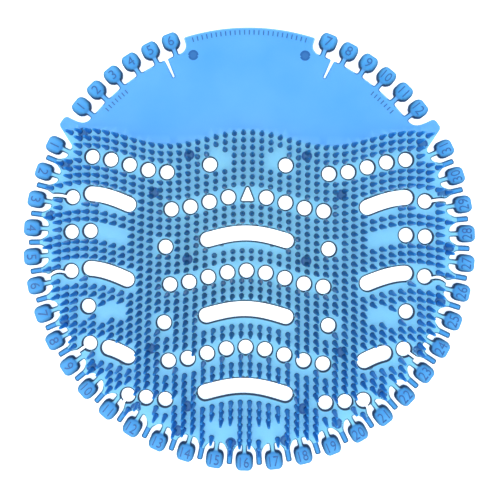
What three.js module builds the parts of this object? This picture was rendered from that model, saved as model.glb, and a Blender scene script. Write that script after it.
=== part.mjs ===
// A urinal deodorizer screen: one soft moulded disc that lies in the bowl.
// Rows of tapered bristles break up splashing and drain holes let the water through.
// Around the rim sit tabs on thin necks, 31 for the dates and 12 for the months.
// The disc lies flat on its feet, with the bristles up and the month tabs towards +Y.

import * as THREE from 'three';
import { mergeVertices } from 'three/addons/utils/BufferGeometryUtils.js';

// Heights, all in millimetres
const footHeight = 1.5;
const plateThickness = 1.6;
const headStep = 0.6; // how far a tab's head stands proud of the plate, on each face
const bristleHeight = 7;

// The disc and its toothed rim
const discRadius = 84.4;
const toothRise = 3;
const stubLength = 5.4;
const stubWidth = 2.4;
const bayRise = 0.6; // rise of a bay's floor half-way between a neck and a stub

// Date tabs, spread evenly over the rim between the two horns
const dateTabs = 31;
const dateSpan = 230.64; // the angle from the first tab to the last
const dateNeckLength = 3.1;
const dateNeckWidth = 2.3;
const dateHeadLength = 7.5;
const dateHeadWidth = 7.4;

// Month tabs, counted on each side of the crest
const monthTabsPerSide = 6;
const monthPitch = 6.06;
const firstMonthAngle = 21.8;
const monthNeckLength = 2.5;
const monthNeckWidth = 2.5;
const monthHeadLength = 7.6;
const monthHeadWidth = 7.7;

// Crest at the top, and a horn between the months and the dates on each side
const crestRise = 6.3;
const crestHalfAngle = 18.2;
const crestFillet = 3.6;
const crestCorner = 1;
const hornAngle = 58;
const hornRise = 9.9;
const hornTipWidth = 5;
const hornDateFoot = 7;
const hornMonthFoot = 6.2;

// Short slits that part the month rim beside the crest
const topSlitAngle = 25;
const topSlitLength = 8.4;
const topSlitMouth = 1.3;
const topSlitEnd = 0.6;

// The wave that the rows of bristles, holes and slots all follow
const waveHeight = 3.15;
const waveLength = 68;

// Bristles
const columnPitch = 3.88;
const columnsPerSide = 22;
const rowPitch = 3.12;
const firstRowY = 42;
const bristleWidth = 2.3;
const bristleMargin = 1.2; // from a bristle's middle to an edge of the plate
const bristleGap = 0.2; // from a bristle's foot to an edge of the plate

// Drain holes, in levels about five rows apart
const holeDiameter = 6.1;
const holePitch = 8.03;
const levelPitch = 15.8;
const firstLevelY = 31.1;
const outerHoleX = 34.3;
const lowerHoleShift = 1.1; // the two lowest levels sit this much nearer to the middle
const lowerLevel = 5;
const lastLevel = 6;
const triangleWidth = 5.5;
const triangleHeight = 5.8;
const slotWidth = 6.2;
const centreSlotLength = 33.2; // between the centres of its round ends
const minimumWeb = 0.9;

// The holes of each level, by their places in the middle row and in the outer row
const holeRows = [
  { level: 0, middle: [2], outer: [0, 1, 2, 3, 4] },
  { level: 1, middle: [1, 2, 3, 4], outer: [] },
  { level: 2, middle: [], outer: [0, 4, 5] },
  { level: 3, middle: [0, 1, 2, 3, 4], outer: [] },
  { level: 4, middle: [], outer: [0, 4] },
  { level: 5, middle: [0, 1, 2, 3, 4], outer: [] },
  { level: 6, middle: [], outer: [0, 1] },
];
const triangleLevel = 1;
const centreSlotLevels = [2, 4, 6];
const sideSlots = [
  { level: 1, slit: 0 },
  { level: 3, slit: 1 },
  { level: 5, slit: 2 },
];
const sideSlotStart = 2; // the outer place where a side slot begins
const sideSlotSag = 1.1; // how far its inner end hangs below the wave

// Holes that a slit opens to the rim. Each lies under a bay, counted in tabs from the
// lowest one, at a depth from the rim and a small turn away from the bay's own angle.
const slitWidth = 1.15;
const slitHoles = [
  { bay: 13.25, depth: 8.1, turn: 0.9 },
  { bay: 10.25, depth: 8.9, turn: 0.2 },
  { bay: 7.25, depth: 5.4, turn: 0.1 },
  { bay: 4.75, depth: 2.8, turn: 0.2 },
];

// Feet under the plate: near the rim, counted in tabs from the lowest one, and further in
const footDiameter = 4;
const rimFootDepth = 0.4;
const rimFeet = [-14.5, -12.5, -8.5, -6.5, -4.26, -2.5, -0.5, 1.5, 3.5, 5.5, 7.5, 9.5, 11.5, 13.5, 15.5];
const hornFoot = [-70.6, 44.5];
const pairedFeet = [[24.9, 35.4], [39.6, 19.3], [24.9, -8.7], [39.6, -46], [23.9, -69.3], [23.9, 78.4]];

// Small pads that carry no bristles, as centre x, centre y, half width and half height
const barePads = [
  [57.1, 0.8, 6, 3.2],
  [57.1, -31, 6, 3.2],
  [11.6, 33.4, 2.6, 3.4],
  [9.8, -78.4, 6, 3.4],
  [60.9, -45.8, 1.6, 3],
];

// How finely the round forms are cut
const holeSides = 7;
const slotStep = 8.5;
const footSides = 4;
const crestSteps = 6;

const degree = Math.PI / 180;
const plateBottom = footHeight;
const plateTop = plateBottom + plateThickness;
const toothRadius = discRadius + toothRise;
const holeRadius = holeDiameter / 2;

// A point at a radius and an angle from +X, moved sideways towards the larger angle.
function polar(radius, angle, side = 0) {
  const point = new THREE.Vector2(radius, side);
  return point.rotateAround(new THREE.Vector2(), angle * degree);
}

const wave = (x) => waveHeight * Math.cos((2 * Math.PI * x) / waveLength);
const levelY = (level, x) => firstLevelY - level * levelPitch + wave(x);
const levelShift = (level) => (level >= lowerLevel ? lowerHoleShift : 0);
const outerX = (level, place) => outerHoleX + place * holePitch - levelShift(level);
const mirrored = (points) => points.map((p) => new THREE.Vector2(-p.x, p.y)).reverse();

// Half a head as shares of its length and width: square shoulders or a balloon's
const dateHead = [[0.06, 0.36], [0.27, 0.5], [0.78, 0.5], [1, 0.29]];
const monthHead = [[0.22, 0.47], [0.76, 0.5], [1, 0.28]];

// The outline of a tab's head from one side of its neck round to the other side.
function headOutline(angle, neckLength, neckWidth, headLength, headWidth, shape) {
  const start = discRadius + neckLength;
  const half = [[start, neckWidth / 2]];
  shape.forEach(([along, across]) => half.push([start + along * headLength, across * headWidth]));
  const near = half.map(([radius, side]) => polar(radius, angle, -side));
  const far = half.map(([radius, side]) => polar(radius, angle, side)).reverse();
  return [...near, ...far];
}

// The body's outline is gathered as steps, each an angle and the points that it adds.
const steps = [];
const tabs = [];

function addTab(angle, neckLength, neckWidth, ...headSizes) {
  const root = [-neckWidth / 2, neckWidth / 2].map((side) => polar(discRadius, angle, side));
  tabs.push({ root, head: headOutline(angle, neckLength, neckWidth, ...headSizes) });
  steps.push({ angle, points: root });
}

function addStub(angle) {
  const tip = toothRadius + stubLength;
  const corners = [[toothRadius, -1], [tip, -1], [tip, 1], [toothRadius, 1]];
  const points = corners.map(([radius, side]) => polar(radius, angle, (side * stubWidth) / 2));
  steps.push({ angle, points });
}

// A slit runs in from its mouth, round its hole and out again.
function slitOutline(mouth, centre) {
  const inward = centre.clone().sub(mouth).normalize();
  const across = new THREE.Vector2(inward.y, -inward.x).multiplyScalar(slitWidth / 2);
  const gap = Math.asin(slitWidth / holeDiameter);
  const outward = inward.clone().multiplyScalar(-holeRadius);
  const points = [mouth.clone().sub(across)];
  for (let i = 0; i < holeSides; i += 1) {
    const turn = gap + (2 * (Math.PI - gap) * i) / (holeSides - 1);
    points.push(outward.clone().rotateAround(new THREE.Vector2(), -turn).add(centre));
  }
  points.push(mouth.clone().add(across));
  return points;
}

const lastDate = (Math.round(dateTabs) - 1) / 2;
const datePitch = dateSpan / (2 * lastDate);
const dateAngle = (tabsFromLowest) => -90 + tabsFromLowest * datePitch;

const slitCentre = ({ bay, depth, turn }) => polar(discRadius - depth, dateAngle(bay) + turn);

// The floor of a bay has one point half-way between a neck and a stub, or a slit's mouth.
function addBay(bay) {
  const floor = polar(discRadius + bayRise, dateAngle(bay));
  const slit = slitHoles.find((hole) => Math.abs(hole.bay - Math.abs(bay)) < 0.01);
  const centre = slit && slitCentre(slit).multiply(new THREE.Vector2(Math.sign(bay), 1));
  steps.push({ angle: dateAngle(bay), points: slit ? slitOutline(floor, centre) : [floor] });
}

for (let date = -lastDate; date <= lastDate; date += 1) {
  addTab(dateAngle(date), dateNeckLength, dateNeckWidth, dateHeadLength, dateHeadWidth, dateHead);
}
for (let date = -lastDate; date < lastDate; date += 1) {
  addBay(date + 0.25);
  addStub(dateAngle(date + 0.5));
  addBay(date + 0.75);
}

// The right half of the top is built, and the left half mirrors it.
const hornSide = [
  [discRadius, -hornDateFoot],
  [discRadius + 0.93 * hornRise, -0.56 * hornTipWidth],
  [discRadius + hornRise, -0.36 * hornTipWidth],
  [discRadius + 0.99 * hornRise, 0.26 * hornTipWidth],
  [discRadius + 0.9 * hornRise, 0.5 * hornTipWidth],
  [discRadius + 0.6 * hornRise, 0.54 * hornTipWidth],
  [discRadius + 0.28 * hornRise, 0.5 * hornTipWidth + 0.22 * (hornMonthFoot - hornTipWidth / 2)],
  [discRadius + 0.08 * hornRise, 0.5 * hornTipWidth + 0.55 * (hornMonthFoot - hornTipWidth / 2)],
  [discRadius, hornMonthFoot],
];
const horn = hornSide.map(([radius, side]) => polar(radius, 90 - hornAngle, side));
steps.push({ angle: 90 - hornAngle, points: horn });
steps.push({ angle: 90 + hornAngle, points: mirrored(horn) });

const topSlit = [
  [discRadius, -topSlitMouth / 2],
  [discRadius - topSlitLength, -topSlitEnd / 2],
  [discRadius - topSlitLength, topSlitEnd / 2],
  [discRadius, topSlitMouth / 2],
].map(([radius, side]) => polar(radius, 90 - topSlitAngle, side));
steps.push({ angle: 90 - topSlitAngle, points: topSlit });
steps.push({ angle: 90 + topSlitAngle, points: mirrored(topSlit) });

for (let month = 0; month < monthTabsPerSide; month += 1) {
  for (const side of [-1, 1]) {
    const angle = 90 + side * (firstMonthAngle + month * monthPitch);
    addTab(angle, monthNeckLength, monthNeckWidth, monthHeadLength, monthHeadWidth, monthHead);
  }
}

// The crest rises from the month rim by a hollow fillet and turns in at a rounded corner.
function crestOutline() {
  const flank = 90 - crestHalfAngle;
  const top = discRadius + crestRise;
  const right = [0, 30, 60, 90].map((turn) => polar(
    discRadius + crestFillet * (1 - Math.cos(turn * degree)),
    flank,
    crestFillet * (Math.sin(turn * degree) - 1),
  ));
  right.push(polar(top - crestCorner, flank, 0));
  right.push(polar(top - 0.3 * crestCorner, flank, 0.3 * crestCorner));
  const arc = [];
  const cornerAngle = crestCorner / top / degree;
  for (let i = 0; i <= crestSteps; i += 1) {
    const share = (2 * i) / crestSteps - 1;
    arc.push(polar(top, 90 + share * (crestHalfAngle - cornerAngle)));
  }
  return [...right, ...arc, ...mirrored(right)];
}
steps.push({ angle: 90, points: crestOutline() });

steps.sort((a, b) => a.angle - b.angle);
const outline = steps.flatMap((step) => step.points);

// How far a point lies from the nearest edge of a loop.
function distanceToLoop(point, loop) {
  let nearest = Infinity;
  loop.forEach((end, i) => {
    const start = loop[(i + loop.length - 1) % loop.length];
    const edge = end.clone().sub(start);
    const along = THREE.MathUtils.clamp(point.clone().sub(start).dot(edge) / edge.lengthSq(), 0, 1);
    nearest = Math.min(nearest, start.clone().addScaledVector(edge, along).distanceTo(point));
  });
  return nearest;
}

function isInside(point, loop) {
  let inside = false;
  loop.forEach((a, i) => {
    const b = loop[(i + loop.length - 1) % loop.length];
    const crosses = a.y > point.y !== b.y > point.y;
    if (crosses && point.x < ((b.x - a.x) * (point.y - a.y)) / (b.y - a.y) + a.x) {
      inside = !inside;
    }
  });
  return inside;
}

// The plate left round a point: negative inside an opening or off the plate.
const openings = [];
function room(point) {
  let least = isInside(point, outline) ? distanceToLoop(point, outline) : -1;
  for (const opening of openings) {
    least = Math.min(least, isInside(point, opening) ? -1 : distanceToLoop(point, opening));
  }
  return least;
}

// An opening is cut only where a web of plate stays round it.
function addOpening(spine, halfWidth, loop) {
  if (spine.every((point) => room(point) > halfWidth + minimumWeb)) {
    openings.push(loop);
  }
}

// A slot follows the wave between two x positions, with round ends. It may sag inwards.
function addSlot(level, fromX, toX, sag = 0) {
  const outermost = Math.max(Math.abs(fromX), Math.abs(toX));
  const count = Math.max(1, Math.ceil((toX - fromX) / slotStep - 0.01));
  const spine = [];
  for (let i = 0; i <= count; i += 1) {
    const x = fromX + ((toX - fromX) * i) / count;
    const inward = (outermost - Math.abs(x)) / (toX - fromX);
    spine.push(new THREE.Vector2(x, levelY(level, x) - sag * inward ** 2));
  }
  const across = spine.map((point, i) => {
    const next = spine[Math.min(i + 1, count)];
    const previous = spine[Math.max(i - 1, 0)];
    const along = next.clone().sub(previous).normalize();
    return new THREE.Vector2(-along.y, along.x).multiplyScalar(slotWidth / 2);
  });
  const lower = spine.map((point, i) => point.clone().sub(across[i]));
  const upper = spine.map((point, i) => point.clone().add(across[i])).reverse();
  const roundEnd = (i, way) => [way - 40, way + 40].map((turn) =>
    across[i].clone().rotateAround(new THREE.Vector2(), turn * degree).add(spine[i]));
  addOpening(spine, slotWidth / 2, [...lower, ...roundEnd(count, -90), ...upper, ...roundEnd(0, 90)]);
}

function addHole(level, x) {
  const centre = new THREE.Vector2(x, levelY(level, x));
  const loop = [];
  for (let i = 0; i < holeSides; i += 1) {
    loop.push(polar(holeRadius, 90 + Math.sign(x) * 90 + (360 * i) / holeSides).add(centre));
  }
  addOpening([centre], holeRadius, loop);
}

function addTriangle(level) {
  const y = levelY(level, 0);
  const corners = [[-0.5, -0.4], [0.5, -0.4], [0.1, 0.6], [-0.1, 0.6]];
  const loop = corners.map(([x, rise]) => new THREE.Vector2(x * triangleWidth, y + rise * triangleHeight));
  addOpening([new THREE.Vector2(0, y)], triangleHeight / 2, loop);
}

for (const level of centreSlotLevels) {
  addSlot(level, -centreSlotLength / 2, centreSlotLength / 2);
}
for (const { level, slit } of sideSlots) {
  const near = outerX(level, sideSlotStart);
  const far = Math.max(slitCentre(slitHoles[slit]).x - holePitch, near + slotWidth / 4);
  addSlot(level, near, far, sideSlotSag);
  addSlot(level, -far, -near, sideSlotSag);
}
addTriangle(triangleLevel);
for (const { level, middle, outer } of holeRows) {
  const places = [...middle.map((place) => place * holePitch), ...outer.map((place) => outerX(level, place))];
  for (const x of places) {
    addHole(level, x);
    if (x > 0) {
      addHole(level, -x);
    }
  }
}

// Bristles stand in columns and follow the wave from one column to the next. Where two
// neighbours in a column both stand, their feet share an edge, and the run goes on.
const isBare = (point) => barePads.some(([x, y, halfWidth, halfHeight]) =>
  Math.abs(Math.abs(point.x) - x) < halfWidth && Math.abs(point.y - y) < halfHeight);

function columnRuns(x) {
  const runs = [[]];
  for (let y = firstRowY + wave(x); y > -toothRadius; y -= rowPitch) {
    const middle = new THREE.Vector2(x, y);
    const free = room(middle);
    const stands = free > bristleMargin && !isBare(middle);
    const run = runs[runs.length - 1];
    const previous = run[run.length - 1];
    const waist = room(new THREE.Vector2(x, y + rowPitch / 2)) - bristleGap;
    if (previous && (!stands || waist < bristleGap)) {
      runs.push([]);
    }
    if (stands) {
      const waistHalf = waist < 0.45 * bristleWidth ? waist : bristleWidth / 2;
      runs[runs.length - 1].push({ middle, free, waistHalf });
    }
  }
  return runs.filter((run) => run.length > 0);
}

// The feet of one run's bristles: the ring round them all, and each one's own corners.
function runFeet(run) {
  const first = run[0];
  const last = run[run.length - 1];
  const reach = (bristle) => Math.min(bristleWidth / 2, bristle.free - bristleGap);
  const shift = (point, x, y) => new THREE.Vector2(point.x + x, point.y + y);
  const top = shift(first.middle, 0, reach(first));
  const bottom = shift(last.middle, 0, -reach(last));
  if (run.length === 1) {
    const ring = [bottom, shift(first.middle, reach(first), 0), top, shift(first.middle, -reach(first), 0)];
    return { ring, feet: [ring] };
  }
  const right = run.slice(1).map((lower) => shift(lower.middle, lower.waistHalf, rowPitch / 2));
  const left = run.slice(1).map((lower) => shift(lower.middle, -lower.waistHalf, rowPitch / 2));
  const feet = run.map((bristle, i) => [
    ...(bristle === last ? [bottom] : [left[i], right[i]]),
    ...(bristle === first ? [top] : [right[i - 1], left[i - 1]]),
  ]);
  return { ring: [bottom, ...right.toReversed(), top, ...left], feet };
}

const bristleRuns = [];
for (let column = 0; column < columnsPerSide; column += 1) {
  for (const side of [-1, 1]) {
    for (const run of columnRuns(side * (column + 0.5) * columnPitch)) {
      bristleRuns.push({ run, ...runFeet(run) });
    }
  }
}

// Feet hold the plate clear of the bowl.
const footCentres = [
  ...rimFeet.map((place) => polar(discRadius - rimFootDepth, dateAngle(place))),
  new THREE.Vector2(...hornFoot),
  ...pairedFeet.flatMap(([x, y]) => [new THREE.Vector2(x, y), new THREE.Vector2(-x, y)]),
];
const footRings = footCentres
  .filter((centre, i) => room(centre) > footDiameter / 2 + bristleGap
    && footCentres.slice(0, i).every((other) => other.distanceTo(centre) > footDiameter + bristleGap))
  .map((centre) => {
    const turns = Array.from({ length: footSides }, (_, i) => ((i + 0.5) * 360) / footSides);
    return turns.map((turn) => polar(footDiameter / 2, turn).add(centre));
  });

// The skin of the solid is laid triangle by triangle.
const positions = [];
const heads = new Set(tabs.flatMap((tab) => tab.head));
const topOf = (point) => (heads.has(point) ? plateTop + headStep : plateTop);
const bottomOf = (point) => (heads.has(point) ? plateBottom - headStep : plateBottom);

function addTriangleFace(...corners) {
  corners.forEach(([point, z]) => positions.push(point.x, point.y, z));
}

// A hair's breadth of bow, so that no three corners in a row lie in a straight line.
function bowed(point) {
  const swing = -0.003 * Math.sin((2 * Math.PI * point.x) / columnPitch);
  const fade = 1 - (point.y / toothRadius) ** 2;
  return new THREE.Vector2(point.x + swing * fade, point.y + 0.0001 * Math.cos(point.x));
}

const turnOf = (a, b, c) => b.clone().sub(a).cross(c.clone().sub(a));

function angleAt(corner, a, b) {
  const toA = a.clone().sub(corner);
  const toB = b.clone().sub(corner);
  return Math.abs(Math.atan2(toA.cross(toB), toA.dot(toB)));
}

// Swap the shared edge of two faces wherever that leaves them less narrow.
function evenOut(points, faces) {
  const owners = new Map();
  const keyOf = (from, to) => from * points.length + to;
  const pending = [];
  function claim(index) {
    faces[index].forEach((from, i) => {
      const to = faces[index][(i + 1) % 3];
      owners.set(keyOf(from, to), index);
      pending.push([from, to]);
    });
  }
  faces.forEach((face, index) => claim(index));
  while (pending.length > 0) {
    const [a, b] = pending.pop();
    const one = owners.get(keyOf(a, b));
    const other = owners.get(keyOf(b, a));
    if (one === undefined || other === undefined) {
      continue;
    }
    const c = faces[one].find((corner) => corner !== a && corner !== b);
    const d = faces[other].find((corner) => corner !== a && corner !== b);
    const [pa, pb, pc, pd] = [a, b, c, d].map((corner) => points[corner]);
    const isNarrow = angleAt(pc, pa, pb) + angleAt(pd, pa, pb) > Math.PI + 1e-6;
    if (isNarrow && turnOf(pa, pd, pc) > 1e-3 && turnOf(pd, pb, pc) > 1e-3) {
      owners.delete(keyOf(a, b));
      owners.delete(keyOf(b, a));
      faces[one] = [a, d, c];
      faces[other] = [d, b, c];
      claim(one);
      claim(other);
    }
  }
}

function addFlatFace(contour, holes, heightOf, facesUp) {
  const points = [contour, ...holes].flat();
  const drawn = points.map(bowed);
  const faces = THREE.ShapeUtils.triangulateShape(contour.map(bowed), holes.map((hole) => hole.map(bowed)))
    .map(([a, b, c]) => (turnOf(drawn[a], drawn[b], drawn[c]) > 0 ? [a, b, c] : [a, c, b]));
  evenOut(points, faces);
  for (const [a, b, c] of faces) {
    const ordered = facesUp ? [a, b, c] : [a, c, b];
    addTriangleFace(...ordered.map((index) => [points[index], heightOf(points[index])]));
  }
}

// Walls follow a path with the solid on its left.
function addWall(path, lowOf, highOf) {
  path.slice(1).forEach((end, i) => {
    const start = path[i];
    addTriangleFace([start, lowOf(start)], [end, lowOf(end)], [end, highOf(end)]);
    addTriangleFace([start, lowOf(start)], [end, highOf(end)], [start, highOf(start)]);
  });
}

const closed = (loop) => [...loop, loop[0]];

addFlatFace(outline, [...openings, ...bristleRuns.map(({ ring }) => ring)], () => plateTop, true);
addFlatFace(outline, [...openings, ...footRings], () => plateBottom, false);
for (const opening of openings) {
  addWall(closed(opening).reverse(), bottomOf, topOf);
}

// The rim's wall is open where a neck grows out of it.
const rootStarts = new Set(tabs.map((tab) => tab.root[0]));
closed(outline).forEach((point, i, path) => {
  if (i > 0 && !rootStarts.has(path[i - 1])) {
    addWall([path[i - 1], point], bottomOf, topOf);
  }
});
for (const { root, head } of tabs) {
  const neck = [root[0], head[0], head[head.length - 1], root[1]];
  addFlatFace(neck, [], topOf, true);
  addFlatFace(neck, [], bottomOf, false);
  addFlatFace(head, [], topOf, true);
  addFlatFace(head, [], bottomOf, false);
  addWall([root[0], ...head, root[1]], bottomOf, topOf);
}

for (const { run, feet } of bristleRuns) {
  feet.forEach((foot, i) => {
    const tip = [run[i].middle, plateTop + bristleHeight];
    closed(foot).slice(1).forEach((end, j) => {
      addTriangleFace([foot[j], plateTop], [end, plateTop], tip);
    });
  });
}

for (const ring of footRings) {
  addWall(closed(ring), () => 0, () => footHeight);
  addFlatFace(ring, [], () => 0, false);
}

const skin = new THREE.BufferGeometry();
skin.setAttribute('position', new THREE.Float32BufferAttribute(positions, 3));
const geometry = mergeVertices(skin, 1e-4);
geometry.computeBoundingBox();
const middle = geometry.boundingBox.getCenter(new THREE.Vector3());
geometry.computeVertexNormals();

const material = new THREE.MeshStandardMaterial({ color: 0x4fa6ee, roughness: 0.35, metalness: 0 });
const screen = new THREE.Mesh(geometry, material);
screen.name = 'screen';
screen.position.set(-middle.x, -middle.y, -geometry.boundingBox.min.z);

const group = new THREE.Group();
group.add(screen);

export default group;
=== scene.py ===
import math

import bmesh
import bpy
import numpy as np
from mathutils import Matrix, Vector
from mathutils.bvhtree import BVHTree
from mathutils.geometry import delaunay_2d_cdt


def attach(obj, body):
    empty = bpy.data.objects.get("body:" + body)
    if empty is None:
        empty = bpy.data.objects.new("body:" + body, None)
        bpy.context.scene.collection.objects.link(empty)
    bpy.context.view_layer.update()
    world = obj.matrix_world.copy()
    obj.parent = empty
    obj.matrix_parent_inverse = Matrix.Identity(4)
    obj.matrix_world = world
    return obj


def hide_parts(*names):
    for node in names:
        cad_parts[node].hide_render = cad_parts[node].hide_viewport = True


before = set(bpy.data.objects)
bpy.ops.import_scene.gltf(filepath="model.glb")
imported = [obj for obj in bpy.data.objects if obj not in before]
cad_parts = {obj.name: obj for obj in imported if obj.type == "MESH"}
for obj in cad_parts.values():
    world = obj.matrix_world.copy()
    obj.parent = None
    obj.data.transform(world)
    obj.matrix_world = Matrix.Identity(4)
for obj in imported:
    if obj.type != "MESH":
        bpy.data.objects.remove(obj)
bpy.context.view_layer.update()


# The screen: one injection moulding in soft, tinted EVA, built up here as a single skin.
# First comes the outline of its thin disc, with a rim of date and month tabs on thin necks
# that are torn off one by one. Sizes are millimetres and degrees from the disc's middle.
DISC_RADIUS = 84.4
TOOTH_RADIUS = 87.4
DATE_PITCH = 7.688
LAST_DATE = 15  # date tabs on each side of the lowest one
MONTH_PITCH = 6.06
MONTHS_A_SIDE = 6
FIRST_MONTH = 21.8
DATE_TAB = {"neck": 3.1, "neck_width": 2.3, "length": 7.5, "width": 7.4}
MONTH_TAB = {"neck": 2.5, "neck_width": 2.5, "length": 7.6, "width": 7.7}
# Corners of half a head, as shares of its length and of its width.
DATE_HEAD = [(0.04, 0.37), (0.24, 0.5), (0.78, 0.5), (1.0, 0.33)]
MONTH_HEAD = [(0.03, 0.29), (0.26, 0.5), (0.76, 0.5), (1.0, 0.33)]
HEAD_ROUNDING = (0.6, 1.0, 1.1, 1.0)
# Darkness, here and in every outline corner below, sets the painted shade line along that edge; below zero
# it sets a painted highlight line.
HEAD_DARKNESS = (0.9, 0.8, 0.5, 0.25)
STUB_LENGTH = 5.4
STUB_HALF = 1.2
LONGEST_EDGE = 1.1
SHORTEST_EDGE = 0.03
CURVE_STEP = 0.5
SHARP_BELOW = 0.04
NEARLY_HALF = 0.49


def polar(radius, angle, side=0.0):
    """The point at a radius and an angle, moved sideways along the rim."""
    turn = math.radians(angle)
    return (radius * math.cos(turn) - side * math.sin(turn), radius * math.sin(turn) + side * math.cos(turn))


def soft_loop(corners):
    """Round each corner (x, y, rounding, darkness) and part long edges, as x, y, darkness."""
    loop = []
    for i, (x, y, rounding, dark) in enumerate(corners):
        corner = Vector((x, y))
        before = Vector(corners[i - 1][:2]) - corner
        after = Vector(corners[(i + 1) % len(corners)][:2]) - corner
        reach = min(rounding, NEARLY_HALF * before.length, NEARLY_HALF * after.length)
        if reach < SHARP_BELOW:
            loop.append((x, y, dark))
            continue
        start = corner + before.normalized() * reach
        end = corner + after.normalized() * reach
        pieces = max(2, min(6, math.ceil((end - start).length / CURVE_STEP)))
        for j in range(pieces + 1):
            t = j / pieces
            point = start * (1 - t) ** 2 + corner * 2 * t * (1 - t) + end * t ** 2
            loop.append((point.x, point.y, dark))
    parted = []
    for i, (x, y, dark) in enumerate(loop):
        next_x, next_y, next_dark = loop[(i + 1) % len(loop)]
        length = math.hypot(next_x - x, next_y - y)
        if length < SHORTEST_EDGE:
            continue
        parts = math.ceil(length / LONGEST_EDGE)
        for j in range(parts):
            t = j / parts
            parted.append((x + (next_x - x) * t, y + (next_y - y) * t, dark + (next_dark - dark) * t))
    return parted


rim_steps = []  # an angle, and the outline's corners that stand there
tab_axes = []


def add_tab(angle, tab, head):
    start = DISC_RADIUS + tab["neck"]
    neck_half = tab["neck_width"] / 2
    # One side of the tab from its root outwards: radius, side, rounding, darkness.
    half = [(DISC_RADIUS, neck_half, 0.7, 0.6), (start, neck_half, 0.4, 0.9)]
    for (along, across), rounding, dark in zip(head, HEAD_ROUNDING, HEAD_DARKNESS):
        half.append((start + along * tab["length"], across * tab["width"], rounding, dark))
    near = [(*polar(radius, angle, -side), rounding, dark) for radius, side, rounding, dark in half]
    far = [(*polar(radius, angle, side), rounding, dark) for radius, side, rounding, dark in half[::-1]]
    rim_steps.append((angle, near + far))
    tab_axes.append((angle, start, tab["length"]))


def date_angle(tabs_from_lowest):
    return -90 + tabs_from_lowest * DATE_PITCH


# Eight slits open a hole to the rim, four on each side. Each is named by the bay between the
# tabs that it starts in, and has its hole's depth, the hole's turn and the slit's bend.
HOLE_RADIUS = 2.95
SLIT_HALF = 0.575
SLIT_MOUTH_RISE = 0.6
SLIT_RING_POINTS = 22
slits = {13.25: (8.1, 0.9, 0.3), 10.25: (8.9, 0.2, 1.1), 7.25: (5.4, 0.1, 0.0), 4.75: (2.8, 0.2, 0.0)}


def slit_centre(bay):
    depth, turn, _ = slits[bay]
    return polar(DISC_RADIUS - depth, date_angle(bay) + turn)


def mirror(corners):
    return [(-x, y, rounding, dark) for x, y, rounding, dark in reversed(corners)]


def slit_steps(bay):
    """The outline's corners down one side of a slit, round its hole and back to the rim."""
    mouth = Vector(polar(DISC_RADIUS + SLIT_MOUTH_RISE, date_angle(abs(bay))))
    centre = Vector(slit_centre(abs(bay)))
    inward = (centre - mouth).normalized()
    across = Vector((inward.y, -inward.x))
    bend = slits[abs(bay)][2]
    length = (centre - mouth).length - HOLE_RADIUS
    sides = []
    for side in (-SLIT_HALF, SLIT_HALF):
        path = []
        for share in (0.0, 0.25, 0.5, 0.75):
            swing = 4 * bend * share * (1 - share)
            point = mouth + inward * (length * share) + across * (side + swing)
            path.append((*point, 0.6, 0.6) if share == 0 else (*point, 0.3, 1.0))
        sides.append(path)
    gap = math.asin(SLIT_HALF / HOLE_RADIUS)
    ring = []
    for i in range(SLIT_RING_POINTS):
        turn = gap + 2 * (math.pi - gap) * i / (SLIT_RING_POINTS - 1)
        spoke = -inward
        spoke = Vector((spoke.x * math.cos(-turn) - spoke.y * math.sin(-turn),
                        spoke.x * math.sin(-turn) + spoke.y * math.cos(-turn)))
        ring.append((*(centre + spoke * HOLE_RADIUS), 0.0, 1.0))
    steps = sides[0] + ring + sides[1][::-1]
    return mirror(steps) if bay < 0 else steps


for date in range(-LAST_DATE, LAST_DATE + 1):
    add_tab(date_angle(date), DATE_TAB, DATE_HEAD)
for date in range(-LAST_DATE, LAST_DATE):
    for bay in (date + 0.25, date + 0.75):
        bay_floor = [(*polar(DISC_RADIUS + 0.5, date_angle(bay)), 1.2, 0.1)]
        rim_steps.append((date_angle(bay), slit_steps(bay) if abs(bay) in slits else bay_floor))
    stub = [(TOOTH_RADIUS, -STUB_HALF, 1.0, 0.6), (TOOTH_RADIUS + STUB_LENGTH, -STUB_HALF, 0.7, 0.7),
            (TOOTH_RADIUS + STUB_LENGTH, STUB_HALF, 0.7, 0.7), (TOOTH_RADIUS, STUB_HALF, 1.0, 0.6)]
    angle = date_angle(date + 0.5)
    stub = [(*polar(radius, angle, side), rounding, dark) for radius, side, rounding, dark in stub]
    rim_steps.append((angle, stub))
for month in range(MONTHS_A_SIDE):
    for side in (-1, 1):
        add_tab(90 + side * (FIRST_MONTH + month * MONTH_PITCH), MONTH_TAB, MONTH_HEAD)
        if 0 < month < MONTHS_A_SIDE - 1:
            angle = 90 + side * (FIRST_MONTH + (month + 0.5) * MONTH_PITCH)
            rim_steps.append((angle, [(*polar(DISC_RADIUS, angle), 1.5, -0.7)]))

# The horn between dates and months, the short slit beside the crest and half the crest are
# drawn once and mirrored. Corners are given by their rise over the disc and their side.
HORN_ANGLE = 32
TOP_SLIT_ANGLE = 65
CREST_START = 71.8
CREST_SPAN = 36.4
CREST_RISE = 6.3
CREST_FILLET = 3.6
FILLET_TURN = 10
CREST_PARTS = 30
horn = [(0.0, -7.0, 2.0), (9.2, -2.8, 1.2), (9.9, -1.8, 1.0), (9.8, 1.3, 1.2), (8.9, 2.5, 1.2),
        (5.94, 2.7, 1.5), (2.77, 3.31, 1.5), (0.79, 4.54, 1.5), (0.0, 6.2, 1.5)]
horn = [(*polar(DISC_RADIUS + rise, HORN_ANGLE, side), rounding, -0.2) for rise, side, rounding in horn]
top_slit = [(0.0, -0.68, 0.6, 0.0), (-8.4, -0.34, 0.25, 0.35),
            (-8.4, 0.34, 0.25, 0.35), (0.0, 0.68, 0.6, 0.0)]
top_slit = [(*polar(DISC_RADIUS + rise, TOP_SLIT_ANGLE, side), rounding, dark)
            for rise, side, rounding, dark in top_slit]
crest_flank = []
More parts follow.
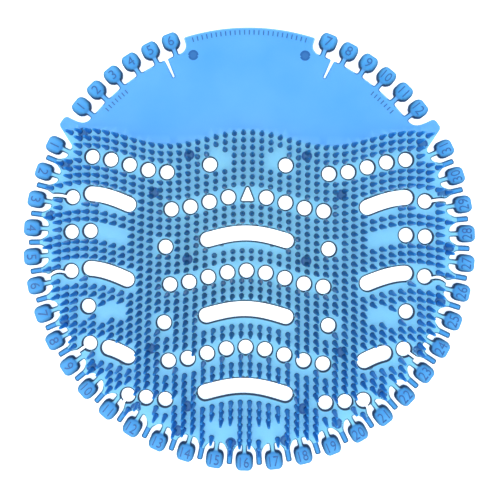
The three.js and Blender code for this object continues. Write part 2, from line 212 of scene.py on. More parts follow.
for i in range(90 // FILLET_TURN + 1):
    turn = math.radians(FILLET_TURN * i)
    rise, side = CREST_FILLET * (1 - math.cos(turn)), CREST_FILLET * (math.sin(turn) - 1)
    crest_flank.append((*polar(DISC_RADIUS + rise, CREST_START, side), 0.0, -0.5))
crest_flank.append((*polar(DISC_RADIUS + CREST_RISE, CREST_START, 0.0), 1.2, -0.8))
crest_arc = []
for i in range(1, CREST_PARTS):
    angle = CREST_START + CREST_SPAN * i / CREST_PARTS
    crest_arc.append((*polar(DISC_RADIUS + CREST_RISE, angle), 0.0, -0.8))
rim_steps += [(HORN_ANGLE, horn), (180 - HORN_ANGLE, mirror(horn))]
rim_steps += [(TOP_SLIT_ANGLE, top_slit), (180 - TOP_SLIT_ANGLE, mirror(top_slit))]
rim_steps.append((90, crest_flank + crest_arc + mirror(crest_flank)))
rim_steps.sort(key=lambda step: step[0])
rim = soft_loop([corner for _, corners in rim_steps for corner in corners])
loops = [rim]

# The drain openings: round holes, arched slots and one triangle, left by pins in the mould.
# They stand in seven levels that follow one wave across the disc.
WAVE_HEIGHT = 3.15
WAVE_LENGTH = 68.0
LEVEL_PITCH = 15.8
FIRST_LEVEL_Y = 31.1
HOLE_PITCH = 8.03
HOLE_POINTS = 26
FIRST_OUTER_X = 34.3
LOW_LEVEL_SHIFT = 1.1
SLOT_HALF = 3.1
SLOT_STEP = 2.2
SLOT_END_TURN = 18
MIDDLE_SLOT_REACH = 16.6
SIDE_SLOT_SAG = 1.1
SHORTEST_SLOT = 1.55
NOSE_REACH = 2.5
WEB = 0.9


def wave(x):
    return WAVE_HEIGHT * math.cos(2 * math.pi * x / WAVE_LENGTH)


def level_y(level, x):
    return FIRST_LEVEL_Y - level * LEVEL_PITCH + wave(x)


def outer_x(level, place):
    return FIRST_OUTER_X + place * HOLE_PITCH - (LOW_LEVEL_SHIFT if level >= 5 else 0.0)


def distance_to_loops(point):
    nearest = 1e9
    for loop in loops:
        ends = np.array([p[:2] for p in loop])
        starts = np.roll(ends, 1, axis=0)
        edge = ends - starts
        along = np.clip(((point - starts) * edge).sum(1) / (edge ** 2).sum(1), 0, 1)
        nearest = min(nearest, np.hypot(*(starts + edge * along[:, None] - point).T).min())
    return nearest


def add_opening(spine, half, loop):
    """Cut an opening only where a web of plate stays round it, with the rim kept clear."""
    if all(distance_to_loops(np.array(p)) > half + WEB and math.hypot(*p) < DISC_RADIUS for p in spine):
        loops.append([(x, y, 1.0) for x, y in loop][::-1])


def add_slot(level, x0, x1, sag=0.0):
    """A slot of even width along the wave, with round ends; its inner end sags by sag."""
    count = max(4, math.ceil((x1 - x0) / SLOT_STEP))
    outermost = max(abs(x0), abs(x1))
    spine = []
    for i in range(count + 1):
        x = x0 + (x1 - x0) * i / count
        spine.append((x, level_y(level, x) - sag * ((outermost - abs(x)) / (x1 - x0)) ** 2))
    lower, upper, loop = [], [], []
    for i, (x, y) in enumerate(spine):
        after, before = spine[min(i + 1, count)], spine[max(i - 1, 0)]
        along = Vector((after[0] - before[0], after[1] - before[1])).normalized()
        lower.append((x + along.y * SLOT_HALF, y - along.x * SLOT_HALF))
        upper.append((x - along.y * SLOT_HALF, y + along.x * SLOT_HALF))
    for edge, centre in ((lower, spine[-1]), (upper[::-1], spine[0])):
        loop += edge
        spoke = Vector(edge[-1]) - Vector(centre)
        for k in range(1, 180 // SLOT_END_TURN):
            turn = math.radians(SLOT_END_TURN * k)
            loop.append((centre[0] + spoke.x * math.cos(turn) - spoke.y * math.sin(turn),
                         centre[1] + spoke.x * math.sin(turn) + spoke.y * math.cos(turn)))
    add_opening(spine, SLOT_HALF, loop)


def add_hole(level, x):
    y = level_y(level, x)
    ring = []
    for k in range(HOLE_POINTS):
        turn = math.tau * k / HOLE_POINTS
        ring.append((x + HOLE_RADIUS * math.cos(turn), y + HOLE_RADIUS * math.sin(turn)))
    add_opening([(x, y)], HOLE_RADIUS, ring)


for level in (2, 4, 6):
    add_slot(level, -MIDDLE_SLOT_REACH, MIDDLE_SLOT_REACH)
for level, bay in ((1, 13.25), (3, 10.25), (5, 7.25)):
    near = outer_x(level, 2)
    far = max(slit_centre(bay)[0] - HOLE_PITCH, near + SHORTEST_SLOT)
    add_slot(level, near, far, SIDE_SLOT_SAG)
    add_slot(level, -far, -near, SIDE_SLOT_SAG)
nose = [(-2.75, -2.3, 0.7, 1.0), (2.75, -2.3, 0.7, 1.0), (0.4, 3.5, 0.5, 1.0), (-0.4, 3.5, 0.5, 1.0)]
nose = soft_loop([(x, level_y(1, 0) + y, rounding, dark) for x, y, rounding, dark in nose])
add_opening([(0.0, level_y(1, 0))], NOSE_REACH, [(x, y) for x, y, _ in nose])
middle_places = {0: [2], 1: [1, 2, 3, 4], 3: [0, 1, 2, 3, 4], 5: [0, 1, 2, 3, 4]}
outer_places = {0: [0, 1, 2, 3, 4], 2: [0, 4, 5], 4: [0, 4], 6: [0, 1]}
for level in range(7):
    columns = [place * HOLE_PITCH for place in middle_places.get(level, [])]
    columns += [outer_x(level, place) for place in outer_places.get(level, [])]
    for x in columns:
        add_hole(level, x)
        if x > 0:
            add_hole(level, -x)

# The thickness: a flat plate with soft mould edges, and tab heads that stand a step thicker.
# All edges stand as walls in a search tree, which gives any point its distance to an edge.
FOOT_HEIGHT = 1.5
PLATE_TOP = 3.1
HEAD_STEP = 0.6
EDGE_RADIUS = 0.4
HEAD_EDGE_RADIUS = 0.95
HEAD_ROOT_RADIUS = 86.0
HEAD_HALF_WIDTH = 4.1
HEAD_STEP_LEAD = 0.25
HEAD_STEP_RUN = 1.1
edge_points = np.array([p for loop in loops for p in loop])
edge_links, wall_corners, wall_faces = [], [], []
for loop in loops:
    base = len(edge_links)
    edge_links += [(base + i, base + (i + 1) % len(loop)) for i in range(len(loop))]
for a, b in edge_links:
    base = len(wall_corners)
    for end, z in ((a, -1), (b, -1), (b, 1), (a, 1)):
        wall_corners.append((edge_points[end][0], edge_points[end][1], z))
    wall_faces.append((base, base + 1, base + 2, base + 3))
walls = BVHTree.FromPolygons(wall_corners, wall_faces)
link_array = np.array(edge_links)
link_starts, link_ends = edge_points[link_array[:, 0], :2], edge_points[link_array[:, 1], :2]


def edge_distance(x, y):
    return walls.find_nearest((x, y, 0.0))[3]


def is_on_plate(x, y):
    """True where an upright line from the point crosses the edges an odd number of times."""
    over = (link_starts[:, 0] > x) != (link_ends[:, 0] > x)
    starts, ends = link_starts[over], link_ends[over]
    cross = starts[:, 1] + (x - starts[:, 0]) * (ends[:, 1] - starts[:, 1]) / (ends[:, 0] - starts[:, 0])
    return np.count_nonzero(cross > y) % 2 == 1


def head_share(x, y):
    """How far a point lies onto a tab's head, and its place along the head's length."""
    if math.hypot(x, y) < HEAD_ROOT_RADIUS:
        return 0.0, 0.0
    for angle, start, length in tab_axes:
        turn = math.radians(angle)
        along = x * math.cos(turn) + y * math.sin(turn)
        if abs(y * math.cos(turn) - x * math.sin(turn)) < HEAD_HALF_WIDTH and along > 0:
            rise = min(max((along - start + HEAD_STEP_LEAD) / HEAD_STEP_RUN, 0.0), 1.0)
            return rise * rise * (3 - 2 * rise), min(max((along - start) / length, 0.0), 1.0)
    return 0.0, 0.0


def soft_radius(share):
    return EDGE_RADIUS + (HEAD_EDGE_RADIUS - EDGE_RADIUS) * share


def face_height(x, y, distance, outward):
    """Height of the top face (outward 1) or of the underside (-1), with its soft edge."""
    share, _ = head_share(x, y)
    radius = soft_radius(share)
    fall = radius - math.sqrt(max(radius ** 2 - max(radius - distance, 0.0) ** 2, 0.0))
    level = PLATE_TOP if outward > 0 else FOOT_HEIGHT
    return level + outward * (HEAD_STEP * share - fall)


# The bristles: about a thousand tapered spikes of the same plastic, moulded with the plate.
# Their columns follow the wave, and one stands wherever the plate has room for its foot.
BRISTLE_COLUMNS = 22
BRISTLE_PITCH = 3.88
BRISTLE_ROW_PITCH = 3.12
FIRST_BRISTLE_Y = 42
BRISTLE_ROOM = 1.2
BRISTLE_FOOT = 1.08
BRISTLE_FOOT_GAP = 0.3
BRISTLE_FILLET = 0.15
BRISTLE_SIDES = 8
BRISTLE_HEIGHT = 7.0
BRISTLE_TIP = [(0.56, 6.5), (0.42, 6.85)]  # radius and height over the plate
NECK_ROOT_RADIUS = 83.2
NECK_CLEARANCE = 1.6
HEAD_CLEARANCE = 4.2
# Pads that the mould leaves bare on both sides: middle x and y, half width, half height.
bare_pads = [(57.1, 0.8, 6.0, 3.2), (57.1, -31.0, 6.0, 3.2), (11.6, 33.4, 2.6, 3.4), (9.8, -78.4, 6.0, 3.4),
             (60.9, -45.8, 1.6, 3.0)]


def is_on_bare_pad(x, y):
    return any(abs(abs(x) - px) < half_x and abs(y - py) < half_y for px, py, half_x, half_y in bare_pads)


def is_under_tab(x, y):
    """True on a tab, or so near a neck's root that no bristle fits beside the rim."""
    radius = math.hypot(x, y)
    clearance = NECK_CLEARANCE if radius < HEAD_ROOT_RADIUS else HEAD_CLEARANCE
    for angle, _, _ in tab_axes:
        turn = math.radians(angle)
        if x * math.cos(turn) + y * math.sin(turn) > 0 and radius > NECK_ROOT_RADIUS:
            if abs(y * math.cos(turn) - x * math.sin(turn)) < clearance:
                return True
    return False


bristles = []
for column in range(BRISTLE_COLUMNS):
    for side in (-1, 1):
        x = side * (column + 0.5) * BRISTLE_PITCH
        y = FIRST_BRISTLE_Y + wave(x)
        while y > -TOOTH_RADIUS:
            if not is_on_bare_pad(x, y) and is_on_plate(x, y):
                if edge_distance(x, y) > BRISTLE_ROOM and not is_under_tab(x, y):
                    bristles.append((x, y, min(BRISTLE_FOOT, edge_distance(x, y) - BRISTLE_FOOT_GAP)))
            y -= BRISTLE_ROW_PITCH

# The feet: low discs moulded under the plate, which hold it off the bowl so that water can
# run below. Over them the plate is painted in deeper rounds, as painted shade for the feet showing through
# the soft plastic.
FEET_RADIUS = 84.0
FOOT_RADIUS = 2.1
FOOT_SIDES = 18
FOOT_ROOM = 2.3
FOOT_PROFILE = [(1.98, 1.3), (1.95, 0.25), (1.7, 0.0)]  # radius and height over the floor
FOOT_SIDE_TONE = 0.6
FOOT_MIDDLE_TONE = 0.85
FOOT_MIDDLE_RADIUS = 1.4
FOOT_TONE_RADIUS = 2.4
FOOT_TONE_FADE = 0.3
foot_bays = [-14.5, -12.5, -8.5, -6.5, -4.26, -2.5, -0.5, 1.5, 3.5, 5.5, 7.5, 9.5, 11.5, 13.5, 15.5]
feet = [polar(FEET_RADIUS, date_angle(bay)) for bay in foot_bays] + [(-70.6, 44.5)]
for x, y in ((24.9, 35.4), (39.6, 19.3), (24.9, -8.7), (39.6, -46.0), (23.9, -69.3), (23.9, 78.4)):
    feet += [(x, y), (-x, y)]


def foot_tone(x, y):
    """How strong the painted shade is over a foot: deepest near its rim, none outside it."""
    reach = min(math.hypot(x - foot_x, y - foot_y) for foot_x, foot_y in feet)
    if reach < FOOT_MIDDLE_RADIUS:
        return FOOT_MIDDLE_TONE
    return min(max((FOOT_TONE_RADIUS - reach) / FOOT_TONE_FADE, 0.0), 1.0)


# The skin: every point carries five masks for the material, and each face of the plate is
# filled between the edges and the rings that the bristles and feet rise from.
MM = 0.001
CENTRE_Y = 2.15  # the disc's middle in the part's own frame
# Below the wavy line FIELD_TOP, the plate among the bristles is painted paler, fading in over FIELD_FADE:
# painted light.
FIELD_TOP = 43.6
FIELD_FADE = 1.4
# The heads' mask rises along each head, and the material paints it as shade, darkest at the neck end and
# palest at the outer end. The stubs take a middle value of the same ramp.
HEAD_START_MASK = 0.25
STUB_MASK = 0.5
STUBS_BELOW_Y = 36
STUB_LEAD = 0.6
# How far inwards the painted highlight line runs, and where the painted shade line fades out on the plate
# and on the heads.
PALE_LINE = 0.6
PLATE_LINE, PLATE_LINE_FADE = 0.75, 0.35
HEAD_LINE, HEAD_LINE_FADE = 1.25, 0.7
TOP_EDGE_ROWS = [0.134, 0.5, 1.0, 1.9]  # reach inwards, in soft-edge radii
UNDER_EDGE_ROWS = [0.293, 1.0, 1.9]
ROW_KEPT = 0.94
ROW_TO_RING = 0.1
LATTICE_X, LATTICE_Y = 4.0, 3.4
LATTICE_COLUMNS, LATTICE_ROWS = 23, 27
LATTICE_TO_EDGE, LATTICE_TO_RING = 1.3, 0.9
FOOT_TONE_RINGS = ((0.0, 1), (1.1, 9), (1.7, 16), (2.1, 18), (2.4, 18))  # radius, points
TONE_TO_EDGE, TONE_TO_RING = 0.5, 0.05
SAME_POINT = 1e-7
skin_points, skin_faces, skin_masks = [], [], []


def in_metres(x, y, z):
    return x * MM, (y + CENTRE_Y) * MM, z * MM


def add_point(x, y, z, pin=0.0, dark=0.0, foot=0.0):
    share, along = head_share(x, y)
    tab = share * (HEAD_START_MASK + (1 - HEAD_START_MASK) * along)
    if math.hypot(x, y) > TOOTH_RADIUS + STUB_LEAD and share == 0 and y < STUBS_BELOW_Y:
        tab = STUB_MASK
    skin_points.append(in_metres(x, y, z))
    field = min(max((FIELD_TOP + wave(x) - y) / FIELD_FADE, 0.0), 1.0)
    skin_masks.append((pin, dark, foot, tab, field))
    return len(skin_points) - 1


def edge_normals():
    """The way out of the plate at each edge point, level with the plate."""
    across = np.stack([link_ends[:, 1] - link_starts[:, 1], link_starts[:, 0] - link_ends[:, 0]], 1)
    across /= np.linalg.norm(across, axis=1)[:, None]
    total = np.zeros((len(edge_points), 2))
    np.add.at(total, link_array[:, 0], across)
    np.add.at(total, link_array[:, 1], across)
    return total / np.linalg.norm(total, axis=1)[:, None]


def edge_fade(dark, reach, share):
    """How much of an edge's painted shade line, where its darkness is above zero, and of its painted
    highlight line, where it is below zero, is left at a reach inwards from it.
    """
    if dark < 0:
        return 1.0 if reach < PALE_LINE else 0.0
    on_plate = min(max((PLATE_LINE - reach) / PLATE_LINE_FADE, 0.0), 1.0)
    on_head = min(max((HEAD_LINE - reach) / HEAD_LINE_FADE, 0.0), 1.0)
    return on_plate * (1 - share) + on_head * share


normals = edge_normals()
forward = set(edge_links)


def add_flat_face(outward, edge_rows, rings):
    """Lay one face of the plate: edge, soft-edge rows, rings to build on, faces between."""
    flat, masks, owners, links = [], [], [], list(edge_links)

    def lay(x, y, dark=0.0, foot=0.0, owner=-1):
        flat.append((x, y))
        masks.append((dark, foot))
        owners.append(owner)

    for x, y, dark in edge_points:
        lay(x, y, dark, owner=0)
    for owner, (middle_x, middle_y, radius, sides) in enumerate(rings, 1):
        base = len(flat)
        for k in range(sides):
            turn = math.tau * (k + 0.5) / sides
            x, y = middle_x + radius * math.cos(turn), middle_y + radius * math.sin(turn)
            lay(x, y, foot=foot_tone(x, y), owner=owner)
            links.append((base + k, base + (k + 1) % sides))
    ring_table = np.array(rings)

    def is_free(x, y, room):
        gap = np.hypot(ring_table[:, 0] - x, ring_table[:, 1] - y) - ring_table[:, 2]
        return gap.min() > room

    for (x, y, dark), (out_x, out_y) in zip(edge_points, normals):
        share, _ = head_share(x, y)
        for row in edge_rows:
            reach = row * soft_radius(share)
            px, py = x - out_x * reach, y - out_y * reach
            if edge_distance(px, py) > ROW_KEPT * reach and is_free(px, py, ROW_TO_RING):
                lay(px, py, dark * edge_fade(dark, reach, share))
    if outward > 0:
        for row in range(-LATTICE_ROWS, LATTICE_ROWS + 1):
            for column in range(-LATTICE_COLUMNS, LATTICE_COLUMNS + 1):
                px, py = (column + 0.5 * (row % 2)) * LATTICE_X, row * LATTICE_Y
                if math.hypot(px, py) < DISC_RADIUS + 5 and is_on_plate(px, py):
                    if edge_distance(px, py) > LATTICE_TO_EDGE and is_free(px, py, LATTICE_TO_RING):
                        lay(px, py)
        for foot_x, foot_y in feet:
            for radius, count in FOOT_TONE_RINGS:
                for k in range(count):
                    px = foot_x + radius * math.cos(math.tau * k / count)
                    py = foot_y + radius * math.sin(math.tau * k / count)
                    is_clear = edge_distance(px, py) > TONE_TO_EDGE and is_free(px, py, TONE_TO_RING)
                    if is_clear and is_on_plate(px, py):
                        lay(px, py, foot=foot_tone(px, py))
    made = delaunay_2d_cdt([Vector(p) for p in flat], links, [], 0, SAME_POINT)
    corners, faces, sources = made[0], made[2], made[3]
    kinds = [owners[source[0]] if source else -1 for source in sources]

    def is_outside(face):
        """An edge of the plate has the plate on its left, so its direction tells the side."""
        if any(kinds[v] != 0 for v in face):
            return False
        names = [sources[v][0] for v in face]
        for pair in zip(names, names[1:] + names[:1]):
            if pair in forward:
                return False
            if pair[::-1] in forward:
                return True
        middle = sum((corners[v] for v in face), Vector((0, 0))) / 3
        return not is_on_plate(*middle)

    index = {}
    for i, corner in enumerate(corners):
        dark, foot = masks[sources[i][0]] if sources[i] else (0.0, 0.0)
        distance = 0.0 if kinds[i] == 0 else edge_distance(*corner)
        z = face_height(corner.x, corner.y, distance, outward)
        index[i] = add_point(corner.x, corner.y, z, 0.0, dark, foot)
    for face in faces:
        if is_outside(face) or (kinds[face[0]] > 0 and len({kinds[v] for v in face}) == 1):
            continue
        skin_faces.append([index[v] for v in (face if outward > 0 else face[::-1])])
    by_source = {source[0]: index[i] for i, source in enumerate(sources) if source}
    edge_index = [by_source[i] for i in range(len(edge_points))]
    ring_index, base = [], len(edge_points)
    for *_, sides in rings:
        ring_index.append([by_source[base + k] for k in range(sides)])
        base += sides
    return edge_index, ring_index


def add_stack(ring, middle_x, middle_y, levels, outward, apex, mask_of):
    """Raise rings of points from a base ring, then close them at a middle point."""
    sides = len(ring)
    rows = [ring]
    for radius, z in levels:
        row = []
        for k in range(sides):
            turn = math.tau * (k + 0.5) / sides
            x, y = middle_x + radius * math.cos(turn), middle_y + radius * math.sin(turn)
            row.append(add_point(x, y, z, *mask_of(z)))
        rows.append(row)
    tip = add_point(middle_x, middle_y, apex, *mask_of(apex))
    for low, high in zip(rows, rows[1:]):
        for k in range(sides):
            quad = [low[k], low[(k + 1) % sides], high[(k + 1) % sides], high[k]]
            skin_faces.append(quad if outward > 0 else quad[::-1])
    for k in range(sides):
        face = [rows[-1][k], rows[-1][(k + 1) % sides], tip]
        skin_faces.append(face if outward > 0 else face[::-1])


def bristle_masks(z):
    return max(z - PLATE_TOP, 0.0) / BRISTLE_HEIGHT, 0.0, 0.0


def foot_masks(z):
    return 0.0, 0.0, FOOT_SIDE_TONE


bristle_rings = [(x, y, foot + BRISTLE_FILLET, BRISTLE_SIDES) for x, y, foot in bristles]
top_edge, top_rings = add_flat_face(1, TOP_EDGE_ROWS, bristle_rings)
for ring, (x, y, foot) in zip(top_rings, bristles):
    levels = [(foot + 0.03, PLATE_TOP + 0.2), (foot * 0.95, PLATE_TOP + 0.8)]
    levels += [(radius, PLATE_TOP + rise) for radius, rise in BRISTLE_TIP]
    add_stack(ring, x, y, levels, 1, PLATE_TOP + BRISTLE_HEIGHT, bristle_masks)

foot_rings = [(x, y, FOOT_RADIUS, FOOT_SIDES) for x, y in feet if edge_distance(x, y) > FOOT_ROOM]
low_edge, low_rings = add_flat_face(-1, UNDER_EDGE_ROWS, foot_rings)
for ring, (x, y, _, _) in zip(low_rings, foot_rings):
    add_stack(ring, x, y, FOOT_PROFILE, -1, 0.0, foot_masks)
for a, b in edge_links:
    skin_faces.append([top_edge[a], low_edge[a], low_edge[b], top_edge[b]])


def put_in_scene(name, data):
    thing = bpy.data.objects.new(name, data)
    bpy.context.scene.collection.objects.link(thing)
    return thing


mesh = bpy.data.meshes.new("screen_skin")
mesh.from_pydata(skin_points, [], skin_faces)
mesh.validate()
mask_table = np.array(skin_masks)
for column, name in enumerate(("bristle", "edge_shade_and_highlight", "foot_disc", "tab_head", "bristle_field")):
    layer = mesh.attributes.new(name, "FLOAT", "POINT")
    layer.data.foreach_set("value", mask_table[:len(mesh.vertices), column].astype(np.float32))
mesh.shade_smooth()
screen = put_in_scene("screen_skin", mesh)
evening = screen.modifiers.new("even_normals", "WEIGHTED_NORMAL")
evening.weight = 60

# The grain that the mould leaves on every face: a faint cloudiness in the colour and a
# small relief. The plate's plastic and the raised figures both use it.
GRAIN_CLOUD_SCALE = 28.0
GRAIN_FINE_SCALE = 1400.0
GRAIN_DEPTH = 0.00006
grain = bpy.data.node_groups.new("moulded_grain", "ShaderNodeTree")
grain.interface.new_socket("Strength", in_out="INPUT", socket_type="NodeSocketFloat")
grain.interface.new_socket("Cloud", in_out="OUTPUT", socket_type="NodeSocketFloat")
grain.interface.new_socket("Normal", in_out="OUTPUT", socket_type="NodeSocketVector")
grain_in = grain.nodes.new("NodeGroupInput")
grain_out = grain.nodes.new("NodeGroupOutput")
grain_place = grain.nodes.new("ShaderNodeTexCoord")
grain_cloud = grain.nodes.new("ShaderNodeTexNoise")
grain_cloud.inputs["Scale"].default_value = GRAIN_CLOUD_SCALE
grain_cloud.inputs["Detail"].default_value = 3.0
grain_fine = grain.nodes.new("ShaderNodeTexNoise")
grain_fine.inputs["Scale"].default_value = GRAIN_FINE_SCALE
grain_bump = grain.nodes.new("ShaderNodeBump")
grain_bump.inputs["Distance"].default_value = GRAIN_DEPTH
grain.links.new(grain_place.outputs["Object"], grain_cloud.inputs["Vector"])
grain.links.new(grain_place.outputs["Object"], grain_fine.inputs["Vector"])
grain.links.new(grain_fine.outputs["Fac"], grain_bump.inputs["Height"])
grain.links.new(grain_in.outputs["Strength"], grain_bump.inputs["Strength"])
grain.links.new(grain_cloud.outputs["Fac"], grain_out.inputs["Cloud"])
grain.links.new(grain_bump.outputs["Normal"], grain_out.inputs["Normal"])

# The soft blue plastic, with painted light and shade: paler in the bristle field, deeper on the bristles
# and over the feet, tab heads darker towards their necks, a painted shade line along the edges, where
# the wall shows, and a painted highlight line along the crest.
CLOUD_LOW, CLOUD_HIGH = 0.3, 0.7
SMOOTH_BLUE = [(CLOUD_LOW, (0.082, 0.40, 0.94)), (CLOUD_HIGH, (0.13, 0.47, 1.0))]
# The plate among the bristles is painted a paler blue: painted light.
FIELD_BLUE = (0.25, 0.71, 1.0)
# Bristle blues are painted shade: deeper than the plate where light would cross the thick spike, darkest at
# each foot where it meets the plate, and darker on the inner bristles than on the outer ones.
INNER_BRISTLE_BLUE = [(0.04, (0.006, 0.05, 0.15)), (0.16, (0.008, 0.12, 0.33)),
                      (0.85, (0.006, 0.10, 0.27)), (1.0, (0.006, 0.09, 0.25))]
OUTER_BRISTLE_BLUE = [(0.04, (0.008, 0.07, 0.22)), (0.16, (0.022, 0.26, 0.72)),
                      (0.85, (0.020, 0.25, 0.70)), (1.0, (0.03, 0.30, 0.80))]
# Tab heads in painted shade: dark at the neck end, pale at the outer end.
HEAD_BLUE = [(0.1, (0.022, 0.24, 0.60)), (0.45, (0.05, 0.35, 0.80)), (1.0, (0.12, 0.48, 0.95))]
# Painted shade over the feet, for the feet showing through the plate; the feet's own sides take it too.
FOOT_SHADE_BLUE = (0.012, 0.13, 0.42)
# Painted shade and highlight along the edges: a dark line where the wall shows, and a pale highlight line
# along the crest, the horn and the month rim.
EDGE_HIGHLIGHT_BLUE = (0.42, 0.74, 1.0)
EDGE_SHADE_BLUE = (0.008, 0.04, 0.10)
INNER_BRISTLES_TO = 0.02
OUTER_BRISTLES_FROM = 0.085


def mask_node(tree, name):
    node = tree.nodes.new("ShaderNodeAttribute")
    node.attribute_name = name
    return node.outputs["Fac"]


def ramp_node(tree, value, stops):
    node = tree.nodes.new("ShaderNodeValToRGB")
    ramp = node.color_ramp
    ramp.elements[0].position, ramp.elements[0].color = stops[0][0], (*stops[0][1], 1)
    ramp.elements[1].position, ramp.elements[1].color = stops[-1][0], (*stops[-1][1], 1)
    for place, color in stops[1:-1]:
        ramp.elements.new(place).color = (*color, 1)
    tree.links.new(value, node.inputs["Fac"])
    return node.outputs["Color"]


def mix_node(tree, factor, first, second):
    node = tree.nodes.new("ShaderNodeMix")
    node.data_type = "RGBA"
    tree.links.new(factor, node.inputs["Factor"])
    tree.links.new(first, node.inputs["A"])
    if isinstance(second, tuple):
        node.inputs["B"].default_value = (*second, 1)
    else:
        tree.links.new(second, node.inputs["B"])
    return node.outputs["Result"]


def steepened_node(tree, value, factor):
    """The value times the factor, held between 0 and 1."""
    node = tree.nodes.new("ShaderNodeMath")
    node.operation = "MULTIPLY"
    node.use_clamp = True
    node.inputs[1].default_value = factor
    tree.links.new(value, node.inputs[0])
    return node.outputs["Value"]


def grain_node(tree, strength):
    node = tree.nodes.new("ShaderNodeGroup")
    node.node_tree = grain
    node.inputs["Strength"].default_value = strength
    return node


blue = bpy.data.materials.new("blue_soft_plastic")
blue.use_nodes = True
tree = blue.node_tree
shader = tree.nodes["Principled BSDF"]
shader.inputs["Roughness"].default_value = 0.42
shader.inputs["IOR"].default_value = 1.48
shader.inputs["Specular IOR Level"].default_value = 0.3
shader.inputs["Subsurface Weight"].default_value = 0.25
shader.inputs["Subsurface Radius"].default_value = (0.35, 0.7, 1.0)
shader.inputs["Subsurface Scale"].default_value = 0.0015
moulded = grain_node(tree, 0.25)
color = ramp_node(tree, moulded.outputs["Cloud"], SMOOTH_BLUE)
color = mix_node(tree, mask_node(tree, "bristle_field"), color, FIELD_BLUE)
head_mask = mask_node(tree, "tab_head")
color = mix_node(tree, steepened_node(tree, head_mask, 5.0), color, ramp_node(tree, head_mask, HEAD_BLUE))
color = mix_node(tree, mask_node(tree, "foot_disc"), color, FOOT_SHADE_BLUE)
place_node = tree.nodes.new("ShaderNodeTexCoord")
reach_node = tree.nodes.new("ShaderNodeVectorMath")
reach_node.operation = "LENGTH"
tree.links.new(place_node.outputs["Object"], reach_node.inputs[0])
# Painted shade: the inner bristles' darker blues blend into the outer ones towards the rim.
outer_share = tree.nodes.new("ShaderNodeMapRange")
outer_share.inputs["From Min"].default_value = INNER_BRISTLES_TO
outer_share.inputs["From Max"].default_value = OUTER_BRISTLES_FROM
tree.links.new(reach_node.outputs["Value"], outer_share.inputs["Value"])
bristle_mask = mask_node(tree, "bristle")
inner_bristle = ramp_node(tree, bristle_mask, INNER_BRISTLE_BLUE)
outer_bristle = ramp_node(tree, bristle_mask, OUTER_BRISTLE_BLUE)
bristle_color = mix_node(tree, outer_share.outputs["Result"], inner_bristle, outer_bristle)
color = mix_node(tree, steepened_node(tree, bristle_mask, 30.0), color, bristle_color)
edge_mask = mask_node(tree, "edge_shade_and_highlight")
# A painted highlight line where the edge darkness is below zero, then a painted shade line where it is
# above.
color = mix_node(tree, steepened_node(tree, edge_mask, -0.7), color, EDGE_HIGHLIGHT_BLUE)
color = mix_node(tree, steepened_node(tree, edge_mask, 1.1), color, EDGE_SHADE_BLUE)
tree.links.new(color, shader.inputs["Base Color"])
tree.links.new(moulded.outputs["Normal"], shader.inputs["Normal"])
screen.data.materials.append(blue)
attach(screen, "root")
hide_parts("screen")


# The figures on the tabs: thin strokes that the same mould raises from each head. The dates
# 1 to 31 have their tops towards the disc's middle and the months 1 to 12 towards the rim,
# and rows of plain ticks stand beside them.
FIGURE_SIZE = 5.9
FIGURE_LEVEL = 3.6
FIGURE_HALF_DEPTH = 0.3
FIGURE_THINNING = -0.04
FIGURE_CURVE_PARTS = 3
MERGE_BELOW = 0.000004
DISSOLVE_BELOW = 0.000002
TWO_FIGURE_WIDTH = 0.86
DATE_FIGURE_RISE = 6.9
MONTH_FIGURE_RISE = 6.4
TICK_ROWS = ((90, 25, 88.4), (134, 7, 81.4), (46, 7, 81.4))  # middle angle, ticks, radius
TICK_PITCH = 1.32
TICK_LEVELS = (3.06, 3.22)
TICK_CORNERS = ((-1.0, -0.22), (1.0, -0.22), (1.0, 0.22), (-1.0, 0.22))
BOX_SIDES = [(3, 2, 1, 0), (4, 5, 6, 7), (0, 1, 5, 4), (1, 2, 6, 5), (2, 3, 7, 6), (3, 0, 4, 7)]
# The strokes are painted a deeper blue than the head under them: painted shade, for the dark edges of the
# thin raised strokes.
RAISED_BLUE = [(CLOUD_LOW, (0.012, 0.13, 0.42)), (CLOUD_HIGH, (0.016, 0.15, 0.46))]
figure_points, figure_faces = [], []


def add_figures(text, radius, angle, turn):
    curve = bpy.data.curves.new("figures", "FONT")
    curve.body = text
    curve.size = FIGURE_SIZE * MM
    curve.align_x, curve.align_y = "CENTER", "CENTER"
    curve.extrude = FIGURE_HALF_DEPTH * MM
    curve.offset = FIGURE_THINNING * MM
    curve.resolution_u = FIGURE_CURVE_PARTS
    holder = put_in_scene("figures", curve)
    bpy.context.view_layer.update()
    drawn = bpy.data.meshes.new_from_object(holder.evaluated_get(bpy.context.evaluated_depsgraph_get()))
    corners = [v.co.copy() for v in drawn.vertices]
    middle_x = (min(c.x for c in corners) + max(c.x for c in corners)) / 2
    middle_y = (min(c.y for c in corners) + max(c.y for c in corners)) / 2
    place = Matrix.Translation(in_metres(*polar(radius, angle), FIGURE_LEVEL))
    place = place @ Matrix.Rotation(math.radians(turn), 4, "Z")
    place = place @ Matrix.Diagonal((1.0 if len(text) == 1 else TWO_FIGURE_WIDTH, 1.0, 1.0, 1.0))
    base = len(figure_points)
    figure_points.extend(place @ (c - Vector((middle_x, middle_y, 0))) for c in corners)
    figure_faces.extend([base + v for v in face.vertices] for face in drawn.polygons)
    bpy.data.objects.remove(holder)
    bpy.data.curves.remove(curve)
    bpy.data.meshes.remove(drawn)


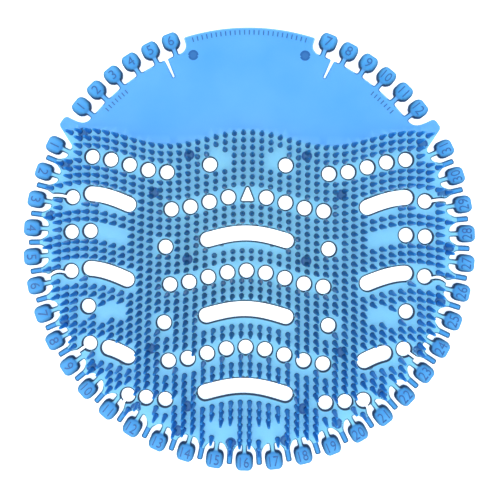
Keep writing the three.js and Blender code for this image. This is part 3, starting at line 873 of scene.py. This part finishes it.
for date in range(-LAST_DATE, LAST_DATE + 1):
    angle = date_angle(date)
    add_figures(str(date + LAST_DATE + 1), DISC_RADIUS + DATE_FIGURE_RISE, angle, angle + 90)
for month in range(2 * MONTHS_A_SIDE):
    is_left = month < MONTHS_A_SIDE
    offset = FIRST_MONTH + (MONTHS_A_SIDE - 1 - month if is_left else month - MONTHS_A_SIDE) * MONTH_PITCH
    angle = 90 + offset if is_left else 90 - offset
    add_figures(str(month + 1), DISC_RADIUS + MONTH_FIGURE_RISE, angle, angle - 90)
for middle, count, radius in TICK_ROWS:
    for place in range(count):
        angle = middle + (place - (count - 1) / 2) * TICK_PITCH
        base = len(figure_points)
        for z in TICK_LEVELS:
            for rise, side in TICK_CORNERS:
                figure_points.append(Vector(in_metres(*polar(radius + rise, angle, side), z)))
        figure_faces += [[base + v for v in side] for side in BOX_SIDES]
mesh = bpy.data.meshes.new("tab_figures")
mesh.from_pydata(figure_points, [], figure_faces)
strokes = bmesh.new()
strokes.from_mesh(mesh)
bmesh.ops.remove_doubles(strokes, verts=strokes.verts, dist=MERGE_BELOW)
bmesh.ops.dissolve_degenerate(strokes, edges=strokes.edges, dist=DISSOLVE_BELOW)
bmesh.ops.recalc_face_normals(strokes, faces=strokes.faces)
strokes.to_mesh(mesh)
strokes.free()
figures = put_in_scene("tab_figures", mesh)

raised = bpy.data.materials.new("raised_blue")
raised.use_nodes = True
tree = raised.node_tree
shader = tree.nodes["Principled BSDF"]
shader.inputs["Roughness"].default_value = 0.36
shader.inputs["Subsurface Weight"].default_value = 0.2
shader.inputs["Subsurface Scale"].default_value = 0.001
moulded = grain_node(tree, 0.2)
tree.links.new(ramp_node(tree, moulded.outputs["Cloud"], RAISED_BLUE), shader.inputs["Base Color"])
tree.links.new(moulded.outputs["Normal"], shader.inputs["Normal"])
mesh.materials.append(raised)
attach(figures, "root")


# The ground: one sheet of matt white board, lying just under the screen's feet. It glows,
# so that it stays white round the tabs and through the openings.
FLOOR_REACH = 2
FLOOR_Z = -0.0001
PAPER_WHITE = [(CLOUD_LOW, (0.93, 0.93, 0.93)), (CLOUD_HIGH, (0.95, 0.95, 0.95))]
mesh = bpy.data.meshes.new("floor")
floor_corners = []
for x, y in ((-1, -1), (1, -1), (1, 1), (-1, 1)):
    floor_corners.append((x * FLOOR_REACH, y * FLOOR_REACH, FLOOR_Z))
mesh.from_pydata(floor_corners, [], [(0, 1, 2, 3)])
floor = put_in_scene("floor", mesh)
board = bpy.data.materials.new("white_board")
board.use_nodes = True
tree = board.node_tree
shader = tree.nodes["Principled BSDF"]
shader.inputs["Roughness"].default_value = 0.9
shader.inputs["Emission Color"].default_value = (1.0, 1.0, 1.0, 1)
shader.inputs["Emission Strength"].default_value = 0.75
paper = tree.nodes.new("ShaderNodeTexNoise")
paper.inputs["Scale"].default_value = 90.0
tree.links.new(ramp_node(tree, paper.outputs["Fac"], PAPER_WHITE), shader.inputs["Base Color"])
mesh.materials.append(board)


# The light: a bright, even room, and a broad lamp straight above that lights the holes too.
# Colours are shown as they are, with no film curve over them.
world = bpy.data.worlds.new("studio")
world.use_nodes = True
world.node_tree.nodes["Background"].inputs["Color"].default_value = (0.97, 0.985, 1.0, 1)
world.node_tree.nodes["Background"].inputs["Strength"].default_value = 0.9
bpy.context.scene.world = world
lamp_data = bpy.data.lights.new("overhead", "SUN")
lamp_data.energy = 0.9
lamp_data.angle = math.radians(35)
lamp = put_in_scene("overhead", lamp_data)
lamp.rotation_euler = (math.radians(8), math.radians(-6), 0)
bpy.context.scene.view_settings.view_transform = "Standard"


# The camera: it hangs about 20 cm above the disc and looks almost straight down, with a
# small shift that sets the disc in the frame as the photograph does.
camera_data = bpy.data.cameras.new("camera")
camera_data.sensor_width = 36.0
camera_data.lens = 35.526
camera_data.shift_x = 0.0226
camera_data.shift_y = -0.1125
camera_data.clip_start = 0.01
camera = put_in_scene("camera", camera_data)
camera.location = (0.00138, 0.01341, 0.21121)
camera.rotation_euler = (math.radians(2.646), math.radians(1.366), math.radians(0.728))
bpy.context.scene.camera = camera
